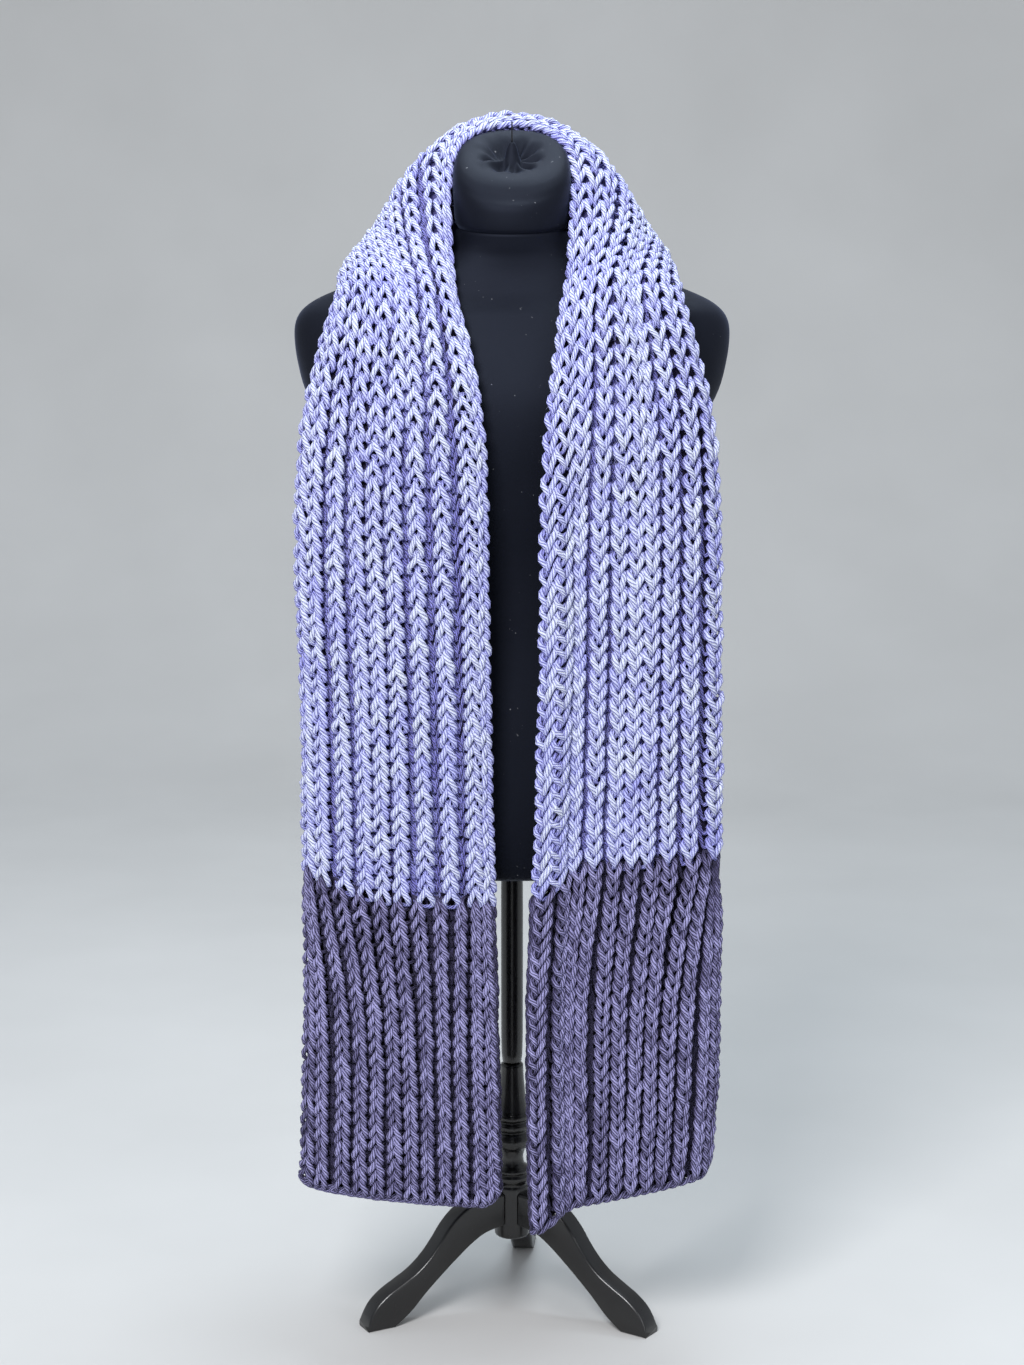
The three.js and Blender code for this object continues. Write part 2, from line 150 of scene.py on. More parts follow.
def sheet_raw(u, s0):
    """The middle surface of the cloth in mm: u across from the neck edge, s along from the middle of the back."""
    u, s0 = np.broadcast_arrays(np.asarray(u, float), np.asarray(s0, float))
    uc = np.clip(u, 0, 1)
    s = s0 + lag(uc, s0)
    r, a, b = section(s), section(s - 1), section(s + 1)
    I, O = r[..., 0:3], r[..., 3:6]
    along = (b[..., 0:3] + b[..., 3:6]) - (a[..., 0:3] + a[..., 3:6])
    out = unit(np.cross(along, O - I))
    x = 2 * uc - 1
    bump = np.where(x < 0, 1 - np.abs(x) ** FLAT_IN, 1 - np.abs(x) ** FLAT_OUT)
    turn = r[..., 7] * step01((0.20 - uc) / 0.12)
    fold = np.zeros(uc.shape)
    for fu, drift, f0, f1, depth, width in FOLDS:
        k = (s0 * 0 + s - f0) / (f1 - f0)
        inside = (k > 0) & (k < 1)
        g = (uc - fu - drift * k) / width
        fold += np.where(inside, depth * np.sin(np.pi * np.clip(k, 0, 1)) ** 2 * np.exp(-g * g * 2.5), 0)
    inward = unit(np.stack([-I[..., 0], NECK_Y - I[..., 1], np.zeros(uc.shape)], -1)) * 0.6
    inward[..., 2] = -0.8
    tuck = r[..., 8] * np.maximum(0, (TUCK_ACROSS - uc) / TUCK_ACROSS) ** 1.6
    return I + (O - I) * uc[..., None] + out * (r[..., 6] * bump + turn + fold)[..., None] + inward * tuck[..., None]


GU = np.linspace(-0.05, 1.05, 133)
GS = np.linspace(S_LOW - 30, S_HIGH + 30, 900)
_gu, _gs = np.meshgrid(GU, GS, indexing="ij")
GRID_P = sheet_raw(_gu, _gs)
_lo_edge = (sheet_raw(0.0, GS) - sheet_raw(0.03, GS)) / 0.03
_hi_edge = (sheet_raw(1.0, GS) - sheet_raw(0.97, GS)) / 0.03
GRID_P += np.where(_gu < 0, -_gu, 0)[..., None] * _lo_edge[None] + np.where(_gu > 1, _gu - 1, 0)[..., None] * _hi_edge[None]


def smooth_grid(g, passes, axis):
    for _ in range(passes):
        a = np.moveaxis(g, axis, 0)
        b = a.copy()
        b[1:-1] = (a[:-2] + 2 * a[1:-1] + a[2:]) / 4
        g = np.moveaxis(b, 0, axis)
    return g


# over the neck the inner edge sinks onto the form
_sink = np.exp(-(_gs / 95.0) ** 2) * np.clip((0.06 - _gu) / 0.105, 0, 1) ** 1.2
GRID_P[..., 2] -= 12.0 * _sink
GRID_P[..., 1] += 5.0 * _sink
GRID_P[..., 2] += 2.5 * np.exp(-(_gs / 80.0) ** 2) * np.exp(-((_gu - 0.06) / 0.07) ** 2)
GRID_P = smooth_grid(GRID_P, 6, 0)
_du = np.gradient(GRID_P, axis=0)
_ds = np.gradient(GRID_P, axis=1)
GRID_N = unit(smooth_grid(unit(np.cross(_ds, _du)), 4, 0))
WIDTH_AT = np.linalg.norm(np.diff(GRID_P[6:-6], axis=0), axis=2).sum(0)
WIDTH_AT = WIDTH_AT / np.median(WIDTH_AT)

# the corners of both hems are rounded: share of the width, mm at the edge
CORNERS = {-1: ((0.11, 15.0), (0.05, 7.0)), 1: ((0.05, 6.0), (0.06, 8.0))}


def surface(u, s):
    """Point (mm) and outward normal of the cloth's middle surface."""
    u, s = np.broadcast_arrays(np.asarray(u, float), np.asarray(s, float))
    for side, ((near, near_lift), (far, far_lift)) in CORNERS.items():
        room = s - S_LOW if side < 0 else S_HIGH - s
        lift = near_lift * np.clip((near - u) / near, 0, 1) ** 2 + far_lift * np.clip((u - 1 + far) / far, 0, 1) ** 2
        s = s - side * lift * step01(1 - room / 80.0)
    fu = np.clip((u - GU[0]) / (GU[1] - GU[0]), 0, len(GU) - 1.001)
    fs = np.clip((s - GS[0]) / (GS[1] - GS[0]), 0, len(GS) - 1.001)
    i, j = fu.astype(int), fs.astype(int)
    a, b = (fu - i)[..., None], (fs - j)[..., None]
    out = []
    for g in (GRID_P, GRID_N):
        out.append((g[i, j] * (1 - a) + g[i + 1, j] * a) * (1 - b) + (g[i, j + 1] * (1 - a) + g[i + 1, j + 1] * a) * b)
    return out[0], unit(out[1])


# --------------------------------------------------------- rows and wales
# Across the scarf from the neck edge: a narrow edge wale, then knit wales
# (odd) with recessed ones between them. Centres of the knit wales as shares
# of the width, read on the left and on the right front.
EDGE_WALE = 0.010            # where the edge wale starts
KNIT_CENTRES = [
    # left  right
    (0.096, 0.118),
    (0.226, 0.215),
    (0.347, 0.325),
    (0.465, 0.432),
    (0.561, 0.515),
    (0.658, 0.604),
    (0.765, 0.702),
    (0.878, 0.829),
    (0.961, 0.947),
]
WALES = 18
END_CENTRES = [
    # the dark ends draw in to twelve: at the colour change and at the hem
    # left   left    right  right
    (0.046, 0.045, 0.064, 0.052),
    (0.098, 0.115, 0.165, 0.147),
    (0.160, 0.192, 0.255, 0.215),
    (0.276, 0.277, 0.341, 0.283),
    (0.391, 0.350, 0.430, 0.377),
    (0.503, 0.435, 0.527, 0.471),
    (0.611, 0.522, 0.628, 0.555),
    (0.726, 0.609, 0.729, 0.634),
    (0.834, 0.692, 0.835, 0.722),
    (0.936, 0.788, 0.925, 0.827),
    (0.982, 0.886, 0.972, 0.912),
    (0.993, 0.962, 0.992, 0.970),
]
END_WALES = 24
DRAW_IN = 190.0              # mm over which the ends draw in
NECK_REACH = 0.050           # how far the first wales spread onto the neck
CLOTH_WIDTH = 185.0          # mm, flat, where the wales were read
KNIT_HALF = 6.6              # half of a knit wale at its feet
PITCH_TABLE = np.array([     # mm from the middle, mm per row
    (0, 15.6), (250, 16.6), (340, 17.0), (430, 15.8), (520, 14.6), (620, 13.9), (720, 13.3),
    (800, 12.6), (860, 12.0), (960, 11.5), (1100, 11.0)])
LILAC_LEFT, LILAC_RIGHT = 803.0, 767.0
YARN_R = 2.85
OVERLAP = 9.6                # how far each loop reaches into the next row
NECK_OVERLAP = 8.8
SEGS, SIDES = 13, 8


def joints(centres, start=EDGE_WALE, limit=KNIT_HALF, share=0.40):
    """Borders of the wales, as shares of the width."""
    c = np.array(centres)
    gap = np.diff(c)
    near = np.concatenate([[gap[0]], np.minimum(gap[:-1], gap[1:]), [gap[-1] * 1.4]])
    half = np.minimum(limit / CLOTH_WIDTH, share * near)
    out = [start]
    for k in range(len(c)):
        out += [c[k] - half[k], c[k] + half[k]]
    out[-1] = 0.996
    return np.maximum.accumulate(np.minimum(out, 0.9975))


JOINTS_LEFT = joints([row[0] for row in KNIT_CENTRES])
JOINTS_RIGHT = joints([row[1] for row in KNIT_CENTRES])
WIDE_LEFT = joints([row[0] for row in KNIT_CENTRES], limit=8.5, share=0.45)
WIDE_RIGHT = joints([row[1] for row in KNIT_CENTRES], limit=8.5, share=0.45)
JOINTS_END = [joints([row[c] for row in END_CENTRES], 0.002, 7.0, 0.375) for c in range(4)]


def wale_u(i, s, end=False):
    """Share of the width at wale coordinate i (whole numbers are borders) and mm s."""
    i, s = np.broadcast_arrays(np.asarray(i, float), np.asarray(s, float))
    if end:
        k = np.clip(np.floor(i).astype(int), 0, END_WALES - 1)
        border = [j[k] + (j[k + 1] - j[k]) * (i - k) for j in JOINTS_END]
        w = np.clip((np.abs(s) - 780) / DRAW_IN, 0, 1)
        w = w * (2 - w)
        return np.where(s < 0, border[0] * (1 - w) + border[1] * w, border[2] * (1 - w) + border[3] * w)
    k = np.clip(np.floor(i).astype(int), 0, WALES - 1)
    w = step01((s + 170) / 340)
    loose = 1 - step01((np.abs(s) - 260) / 260)
    left, right = [
        (tight[k] + (tight[k + 1] - tight[k]) * (i - k)) * (1 - loose) + (wide[k] + (wide[k + 1] - wide[k]) * (i - k)) * loose
        for tight, wide in ((JOINTS_LEFT, WIDE_LEFT), (JOINTS_RIGHT, WIDE_RIGHT))]
    u = left * (1 - w) + right * w
    return u - NECK_REACH * np.exp(-(np.abs(s) / 215) ** 8) * np.clip(1 - u / 0.5, 0, 1)


_fine = np.arange(S_LOW + 4.0, S_HIGH - 4.0 + 0.5, 0.5)
_rate = 1.0 / np.interp(np.abs(_fine), PITCH_TABLE[:, 0], PITCH_TABLE[:, 1])
_count = np.concatenate([[0.0], np.cumsum((_rate[1:] + _rate[:-1]) / 2 * 0.5)])
# whole rows between each hem, colour change and the middle, counted in the
# knitting direction: up the right front, over the neck and down the left
_marks = np.array([_fine[0], -LILAC_LEFT, 0.0, LILAC_RIGHT, _fine[-1]])
_at = np.interp(_marks, _fine, _count)
_whole = np.concatenate([[0], np.cumsum(np.round(np.diff(_at)))])
_scaled = np.interp(_count, _at, _whole)
ROWS = int(_whole[-1])
ROW_COLOUR_RIGHT = int(_whole[-1] - _whole[3])     # first lilac row
ROW_MIDDLE = int(_whole[-1] - _whole[2])
ROW_COLOUR_LEFT = int(_whole[-1] - _whole[1])      # first dark row of the left end
_b = ROWS - _scaled[::-1]
_sb = _fine[::-1]


def s_of(b):
    """Row coordinate, counted from the right hem, to mm along the scarf."""
    low = _sb[0] + (_b[0] - b) * 11.0
    high = _sb[-1] - (b - _b[-1]) * 11.0
    return np.where(b < _b[0], low, np.where(b > _b[-1], high, np.interp(b, _b, _sb)))


print("rows", ROWS, "colour rows", ROW_COLOUR_RIGHT, ROW_COLOUR_LEFT, "middle", ROW_MIDDLE)


# --------------------------------------------------------------- mesh help
def to_row(points_mm):
    return points_mm * MM + AXIS


def new_object(name, verts, faces, material, smooth=True, uvs=None, tone=None):
    me = bpy.data.meshes.new(name)
    me.from_pydata(verts, [], faces)
    if uvs is not None:
        layer = me.uv_layers.new(name="yarn")
        layer.data.foreach_set("uv", np.asarray(uvs, np.float32).ravel())
    if tone is not None:
        att = me.attributes.new("tone", "FLOAT", "POINT")
        att.data.foreach_set("value", np.asarray(tone, np.float32).ravel())
    me.polygons.foreach_set("use_smooth", np.full(len(me.polygons), smooth))
    me.materials.append(material)
    me.update()
    ob = bpy.data.objects.new(name, me)
    bpy.context.scene.collection.objects.link(ob)
    return ob


def tubes(name, path, normal, radius, tone, material, height=None, closed=False, sides=SIDES, flat=0.9):
    """Round tubes along many paths at once. path (R, M, 3) and normal in mm, radius and height (R, M)."""
    R, M, _ = path.shape
    if closed:
        tangent = np.roll(path, -1, 1) - np.roll(path, 1, 1)
        seg = np.linalg.norm(np.roll(path, -1, 1) - path, axis=2)
        length = np.concatenate([np.zeros((R, 1)), np.cumsum(seg, 1)], 1)
    else:
        tangent = np.gradient(path, axis=1)
        seg = np.linalg.norm(np.diff(path, axis=1), axis=2)
        length = np.concatenate([np.zeros((R, 1)), np.cumsum(seg, 1)], 1)
    tangent = unit(tangent)
    e1 = unit(normal - (normal * tangent).sum(-1, keepdims=True) * tangent)
    e2 = np.cross(tangent, e1)
    phi = 2 * np.pi * np.arange(sides) / sides - np.pi / 2
    ring = (np.cos(phi)[:, None] * e2[:, :, None, :] + flat * np.sin(phi)[:, None] * e1[:, :, None, :])
    verts = path[:, :, None, :] + ring * radius[:, :, None, None]
    n = M if closed else M - 1
    r, m, k = np.meshgrid(np.arange(R), np.arange(n), np.arange(sides), indexing="ij")
    m2, k2 = (m + 1) % M, (k + 1) % sides
    at = lambda rr, mm, kk: (rr * M + mm) * sides + kk
    quads = np.stack([at(r, m, k), at(r, m, k2), at(r, m2, k2), at(r, m2, k)], -1).reshape(-1, 4)
    L0, L1 = length[r, m], length[r, m + 1]
    v0, v1 = k / sides, (k + 1) / sides
    uv = np.stack([np.stack([L0, v0], -1), np.stack([L0, v1], -1), np.stack([L1, v1], -1), np.stack([L1, v0], -1)], 3)
    uv = uv.reshape(-1, 2) if uv.shape[3] == 4 and uv.ndim == 5 else uv.reshape(-1, 2)
    faces = quads.tolist()
    loops = uv
    if not closed:
        caps, cap_uv = [], []
        for rr in range(R):
            first = [at(rr, 0, kk) for kk in range(sides)][::-1]
            last = [at(rr, M - 1, kk) for kk in range(sides)]
            caps += [first, last]
            cap_uv += [[0.0, kk / sides] for kk in range(sides)][::-1]
            cap_uv += [[length[rr, -1], kk / sides] for kk in range(sides)]
        faces += caps
        loops = np.concatenate([loops, np.array(cap_uv)])
    loops = loops * np.array([0.1, 1.0])
    tone_and_painted_shade = np.repeat(tone[:, :, None], sides, 2)
    if height is not None:
        # painted shade and highlight: the wool is coloured paler on the crests and darker deep in the recesses, where
        # shade falls
        h = height[:, :, None] + (ring * normal[:, :, None, :]).sum(-1) * radius[:, :, None]
        tone_and_painted_shade = tone_and_painted_shade + 0.42 * np.clip(np.abs(h) / 8.3, 0, 1.05) - 0.29
    tone_and_painted_shade = tone_and_painted_shade.reshape(-1)
    return new_object(name, to_row(verts.reshape(-1, 3)), faces, material, uvs=loops, tone=tone_and_painted_shade)


# -------------------------------------------------------------- materials
def nodes_of(mat):
    mat.use_nodes = True
    return mat.node_tree.nodes, mat.node_tree.links


class Net:
    """Short hands for building a node network."""

    def __init__(self, name):
        self.mat = bpy.data.materials.new(name)
        self.nodes, self.links = nodes_of(self.mat)
        self.bsdf = self.nodes["Principled BSDF"]

    def put(self, kind, **values):
        n = self.nodes.new(kind)
        for k, v in values.items():
            setattr(n, k, v)
        return n

    def join(self, a, b):
        self.links.new(a, b)

    def math(self, op, a, b=None, c=None, clamp=False):
        n = self.put("ShaderNodeMath", operation=op, use_clamp=clamp)
        for i, x in enumerate((a, b, c)):
            if x is None:
                continue
            if isinstance(x, (int, float)):
                n.inputs[i].default_value = x
            else:
                self.join(x, n.inputs[i])
        return n.outputs[0]

    def mix(self, fac, a, b, blend="MIX"):
        n = self.put("ShaderNodeMix", data_type="RGBA", blend_type=blend)
        for socket, x in ((n.inputs[0], fac), (n.inputs[6], a), (n.inputs[7], b)):
            if isinstance(x, (int, float)):
                socket.default_value = x
            elif isinstance(x, tuple):
                socket.default_value = (*x, 1.0) if len(x) == 3 else x
            else:
                self.join(x, socket)
        return n.outputs[2]

    def ramp(self, fac, stops):
        n = self.put("ShaderNodeValToRGB")
        e = n.color_ramp.elements
        while len(e) < len(stops):
            e.new(0.5)
        for el, (pos, v) in zip(e, stops):
            el.position = pos
            el.color = (v, v, v, 1.0) if isinstance(v, (int, float)) else (*v, 1.0)
        self.join(fac, n.inputs[0])
        return n.outputs[0]

    def noise(self, vector, scale, detail=2.0, rough=0.5):
        n = self.put("ShaderNodeTexNoise")
        n.inputs["Scale"].default_value = scale
        n.inputs["Detail"].default_value = detail
        n.inputs["Roughness"].default_value = rough
        if vector is not None:
            self.join(vector, n.inputs["Vector"])
        return n.outputs["Fac"]

    def bump(self, height, strength, distance, normal=None):
        n = self.put("ShaderNodeBump")
        n.inputs["Strength"].default_value = strength
        n.inputs["Distance"].default_value = distance
        self.join(height, n.inputs["Height"])
        if normal is not None:
            self.join(normal, n.inputs["Normal"])
        return n.outputs["Normal"]


def yarn_material(name, stops, plies=6, helix=2.8, sheen=0.2, contrast=1.0):
    """Plied wool-like yarn. The UV's x runs along the yarn in cm, y round it."""
    net = Net(name)
    uv = net.put("ShaderNodeUVMap", uv_map="yarn").outputs[0]
    sep = net.put("ShaderNodeSeparateXYZ")
    net.join(uv, sep.inputs[0])
    along, around = sep.outputs[0], sep.outputs[1]
    obj = net.put("ShaderNodeTexCoord").outputs["Object"]
    wander = net.noise(obj, 150.0, 1.0)
    phase = net.math("SUBTRACT", net.math("MULTIPLY", around, float(plies)), net.math("MULTIPLY", along, plies / helix))
    phase = net.math("ADD", phase, net.math("MULTIPLY", wander, 0.6))
    ridge = net.math("ABSOLUTE", net.math("SINE", net.math("MULTIPLY", phase, math.pi)))
    ridge = net.math("POWER", ridge, 0.55)
    turn = net.math("MULTIPLY", net.math("SUBTRACT", around, net.math("MULTIPLY", along, 1.0 / helix)), 2 * math.pi)
    comb = net.put("ShaderNodeCombineXYZ")
    net.join(net.math("MULTIPLY", net.math("COSINE", turn), 5.0), comb.inputs[0])
    net.join(net.math("MULTIPLY", net.math("SINE", turn), 5.0), comb.inputs[1])
    net.join(net.math("MULTIPLY", along, 0.9), comb.inputs[2])
    fibre = net.noise(comb.outputs[0], 2.6, 4.0, 0.65)
    fine = net.noise(obj, 900.0, 3.0, 0.6)
    patch = net.noise(obj, 38.0, 2.0, 0.5)
    # the tone attribute: random stitch tone plus the painted shade of the recesses and the painted highlight of the
    # crests
    tone = net.put("ShaderNodeAttribute", attribute_name="tone").outputs["Fac"]

    # colour: painted shade in the grooves between the plies, random fibre and patch tone, and the tone attribute
    shade = net.math("MULTIPLY_ADD", ridge, 0.52, 0.22)
    shade = net.math("ADD", shade, net.math("MULTIPLY", net.math("SUBTRACT", fibre, 0.5), 0.40))
    shade = net.math("ADD", shade, net.math("MULTIPLY", net.math("SUBTRACT", patch, 0.5), 0.14))
    shade = net.math("ADD", shade, tone)
    shade = net.math("MULTIPLY_ADD", shade, contrast, 0.5 - 0.5 * contrast)
    colour = net.ramp(shade, stops)
    net.join(colour, net.bsdf.inputs["Base Color"])
    net.bsdf.inputs["Roughness"].default_value = 0.62
    net.bsdf.inputs["Specular IOR Level"].default_value = 0.38
    net.bsdf.inputs["Sheen Weight"].default_value = sheen
    net.bsdf.inputs["Sheen Roughness"].default_value = 0.4
    net.bsdf.inputs["Sheen Tint"].default_value = (*stops[-1][1], 1.0)
    h = net.math("ADD", net.math("MULTIPLY", ridge, 1.0), net.math("MULTIPLY", fibre, 0.5))
    h = net.math("ADD", h, net.math("MULTIPLY", fine, 0.15))
    net.join(net.bump(h, 1.0, 0.0021), net.bsdf.inputs["Normal"])
    return net.mat


LILAC = yarn_material("lilac_yarn", [
    (0.08, (0.032, 0.018, 0.095)), (0.34, (0.205, 0.19, 0.66)), (0.58, (0.43, 0.445, 1.0)), (0.88, (0.80, 0.85, 1.0))],
    contrast=1.06)
DARK = yarn_material("dark_yarn", [
    (0.08, (0.005, 0.0035, 0.013)), (0.38, (0.023, 0.018, 0.054)), (0.63, (0.080, 0.068, 0.175)), (0.93, (0.42, 0.40, 0.72))],
    contrast=1.25)


def painted_shade_material(name, dark, light):
    """Painted shade: a dark colour standing in for the shaded depth of the knit, seen between the stitches."""
    net = Net(name)
    obj = net.put("ShaderNodeTexCoord").outputs["Object"]
    n = net.noise(obj, 420.0, 4.0, 0.6)
    net.join(net.ramp(n, [(0.3, dark), (0.75, light)]), net.bsdf.inputs["Base Color"])
    net.bsdf.inputs["Roughness"].default_value = 0.95
    net.bsdf.inputs["Specular IOR Level"].default_value = 0.1
    net.bsdf.inputs["Sheen Weight"].default_value = 0.03
    net.join(net.bump(n, 0.8, 0.0012), net.bsdf.inputs["Normal"])
    return net.mat


# painted shade colours for the depth behind the loops of the lilac fronts, the dark ends and the neck
LILAC_PAINTED_SHADE = painted_shade_material("lilac_painted_shade", (0.008, 0.006, 0.014), (0.035, 0.030, 0.075))
DARK_PAINTED_SHADE = painted_shade_material("dark_painted_shade", (0.0018, 0.0013, 0.0036), (0.006, 0.0045, 0.012))
NECK_PAINTED_SHADE = painted_shade_material("neck_painted_shade", (0.030, 0.026, 0.075), (0.14, 0.135, 0.36))


# ------------------------------------------------------------ the knitting
KNIT_A, KNIT_B, KNIT_DEPTH = 4.2, 0.0, 2.9        # mm: spread, lean and depth of a loop
NECK_A, END_A = 3.7, 3.6
PURL_DEPTH, PURL_FORWARD = 1.6, 0.3


def stitch_noise(shape, amount):
    return rng.normal(0, amount, shape)


N_DU = stitch_noise((ROWS, END_WALES), 0.45)          # mm across
N_DB = stitch_noise((ROWS, END_WALES), 0.050)         # rows along
N_W = 1 + stitch_noise((ROWS, END_WALES), 0.13)
N_Z = stitch_noise((ROWS, END_WALES), 0.38)
N_R = 1 + stitch_noise((ROWS, END_WALES), 0.06)
N_TONE = stitch_noise((ROWS, END_WALES), 0.03)
N_LEG = stitch_noise((ROWS, END_WALES, 2), 0.42)

def drift(amount, rows_long):
    """A slow wander along each wale."""
    k = np.exp(-0.5 * (np.arange(-3 * rows_long, 3 * rows_long + 1) / rows_long) ** 2)
    k /= np.sqrt((k**2).sum())
    raw = rng.normal(0, 1, (ROWS + len(k) - 1, END_WALES))
    return amount * np.stack([np.convolve(raw[:, c], k, mode="valid") for c in range(END_WALES)], 1)


SWAY = drift(0.90, 9)                             # mm across
LIFT = drift(0.35, 6)                             # mm out

# the turns at the edges, hidden behind: mm in from the edge, rows, mm out
EDGE_TURN = np.array([(1.4, -0.50, -1.6), (3.4, -0.70, -2.6), (6.0, -0.75, -3.0)])


def course_paths(rows, end):
    """Yarn centre lines of these rows, edge to edge, in mm."""
    rows = np.asarray(rows)
    j = rows[:, None]
    wales = END_WALES if end else WALES
    t1 = 2 * np.pi * np.arange(SEGS) / SEGS
    t = np.append(np.tile(t1, wales), 2 * np.pi)
    i = np.append(np.repeat(np.arange(wales), SEGS), wales - 1)
    centre_s = s_of(rows + 0.5)[:, None]
    left, right = wale_u(i + 0.0, centre_s, end), wale_u(i + 0.99999, centre_s, end)
    wide = (right - left) * CLOTH_WIDTH
    knit = (i % 2 == 1) | (i == 0)
    # a squeezed wale is thin and sinks behind its neighbours
    open_ = np.where(knit, np.clip(wide / 6.0, 0.1, 1), np.clip(wide / 1.6, 0.4, 1))
    spread = END_A if end else KNIT_A + (NECK_A - KNIT_A) * (1 - step01((np.abs(centre_s) - 200) / 250))
    A = np.where(knit, spread * np.clip(wide / 12.0, 0.25, 1.35), -np.clip(0.12 * wide + 0.2, 0.2, 1.6))
    B = np.where(knit, KNIT_B, 0.1)
    D = np.where(knit, KNIT_DEPTH, PURL_DEPTH)
    inner = np.sqrt(np.abs(np.sin(t / 2)))           # the noise fades at the borders
    leg = (np.sin(t) < 0).astype(int)
    across = N_W[j, i] * (-B * np.sin(t) + A * np.sin(2 * t)) + N_DU[j, i] * inner
    u = left + (right - left) * t / (2 * np.pi) + (across + SWAY[j, i] * inner) / CLOTH_WIDTH
    pitch = np.abs(s_of(rows + 1.0) - s_of(rows + 0.0))[:, None]
    over = NECK_OVERLAP + (OVERLAP - NECK_OVERLAP) * step01((np.abs(centre_s) - 260) / 170)
    reach = (pitch + over) / pitch
    b = j + 0.5 - 0.5 * reach * np.cos(t) + N_DB[j, i] * inner
    face = np.where(knit, 1.0, -1.0)
    arch = np.abs(np.sin(t))
    z = face * (2 * D * arch**1.45 + (N_Z[j, i] + N_LEG[j, i, leg] + LIFT[j, i]) * arch**2)
    z = z + np.where(knit, 0.0, PURL_FORWARD * np.sin(t / 2) ** 2)
    z = z * open_ - 3.2 * (1 - open_) * inner
    # the outer legs of both edge wales lie a little further back
    z = z - np.where((i == 0) & (leg == 0), 1.3, 0.0) * arch - np.where((i == wales - 1) & (leg == 1), 1.3, 0.0) * arch
    # a leg is thin where it comes through the row before and full above
    full = arch * (1 - 0.35 * np.cos(t))
    thick = np.where(knit, YARN_R, 0.74 * YARN_R) * (0.5 + 0.5 * open_) * (0.90 if end else 1.0)
    local = np.interp(centre_s, GS, WIDTH_AT)
    radius = thick * N_R[j, i] * (0.60 + 0.42 * full) * np.clip(local, 0.7, 1.05) ** 0.35
    tone = N_TONE[j, i] + 0.05 * N_LEG[j, i, leg] * np.sin(t) ** 2 + 0 * b
    # the turns at both edges
    e_b = j + 0.5 * (1 - reach) + EDGE_TURN[None, :, 1] + 0.5
    e_in = EDGE_TURN[None, :, 0] / CLOTH_WIDTH + 0 * e_b
    e_near = wale_u(0.0, centre_s, end) + (EDGE_TURN[None, :, 0] - 1.8) / CLOTH_WIDTH
    e_z = EDGE_TURN[None, :, 2] + 0 * e_b
    u = np.concatenate([e_near[:, ::-1], u, 1 - e_in], 1)
    b = np.concatenate([e_b[:, ::-1], b, e_b], 1)
    z = np.concatenate([e_z[:, ::-1], z, e_z], 1)
    radius = np.concatenate([1.9 + 0 * e_b, radius, 1.9 + 0 * e_b], 1)
    tone = np.concatenate([0 * e_b, tone, 0 * e_b], 1)
    p, n = surface(u, s_of(b))
    return p + n * z[..., None], n, radius, tone, z


def knit_piece(name, first, last, material):
    path, normal, radius, tone, height = course_paths(np.arange(first, last), material is DARK)
    return tubes(name, path, normal, radius, tone, material, height)


neck_rows = [int(np.argmin(np.abs(s_of(np.arange(ROWS + 1.0)) - v))) for v in (195.0, -195.0)]
half_right = (ROW_COLOUR_RIGHT + neck_rows[0]) // 2
half_left = (ROW_COLOUR_LEFT + neck_rows[1]) // 2
PIECES = [
    ("knit_right_end", 0, ROW_COLOUR_RIGHT, DARK, "scarf_right_end", "dark_yarn"),
    ("knit_right_front_lower", ROW_COLOUR_RIGHT, half_right, LILAC, "scarf_right_front", "lilac_yarn"),
    ("knit_right_front_upper", half_right, neck_rows[0], LILAC, "scarf_right_front", "lilac_yarn"),
    ("knit_neck", neck_rows[0], neck_rows[1], LILAC, "scarf_neck", "lilac_yarn"),
    ("knit_left_front_upper", neck_rows[1], half_left, LILAC, "scarf_left_front", "lilac_yarn"),
    ("knit_left_front_lower", half_left, ROW_COLOUR_LEFT, LILAC, "scarf_left_front", "lilac_yarn"),
    ("knit_left_end", ROW_COLOUR_LEFT, ROWS, DARK, "scarf_left_end", "dark_yarn"),
]
knit = []
for name, first, last, material, node, slot in PIECES:
    ob = knit_piece(name, first, last, material)
    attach(ob, "root")
    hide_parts(node)
    knit.append(ob)

# cast-off chain along the left hem: one closed loop for each wale, each
# passing through the last, lying on the edge
def edge_chain(name, b_edge, direction, material):
    T = 22
    t = 2 * np.pi * np.arange(T) / T
    count = END_WALES
    k = np.arange(count)[:, None]
    wobble = rng.normal(0, 1, (count, 1))
    a = 0.012 + 0.976 * (k + 0.5 + 0.80 * np.cos(t) + 0.03 * wobble) / count
    pitch = 11.0
    off = (1.7 + 0.25 * wobble) * np.sin(t) + 0.3 * np.cos(t)
    z = 2.4 * np.cos(t) * 0.9 + 1.6 * np.sin(t) * 0.3 + 0.3 * wobble
    b = b_edge + direction * (off + 1.6) / pitch
    p, n = surface(a, s_of(b))
    path = p + n * z[..., None]
    radius = np.full(path.shape[:2], 2.1)
    return tubes(name, path, n, radius, np.zeros(path.shape[:2]) + 0.03, material, closed=True)


last_pitch = 11.0
hem_left = edge_chain("castoff_left", ROWS + 0.5 * (1 + OVERLAP / last_pitch) - 0.5 - 0.30, 1.0, DARK)
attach(hem_left, "root")


def edge_twist(name, b_edge, direction, material):
    """Two strands wound round each other along the cast-on edge."""
    M = 190
    a = np.linspace(0.1, 18.9, M)
    paths, normals = [], []
    for phase in (0.0, np.pi):
        w = 2 * np.pi * a * 0.5 + phase
        off = 1.9 * np.cos(w) + 1.2
        z = 2.3 * np.sin(w)
        p, n = surface(a / 19.0, s_of(b_edge + direction * off / 11.0))
        paths.append(p + n * z[:, None])
        normals.append(n)
    path, n = np.stack(paths), np.stack(normals)
    return tubes(name, path, n, np.full(path.shape[:2], 2.2), np.zeros(path.shape[:2]), material)


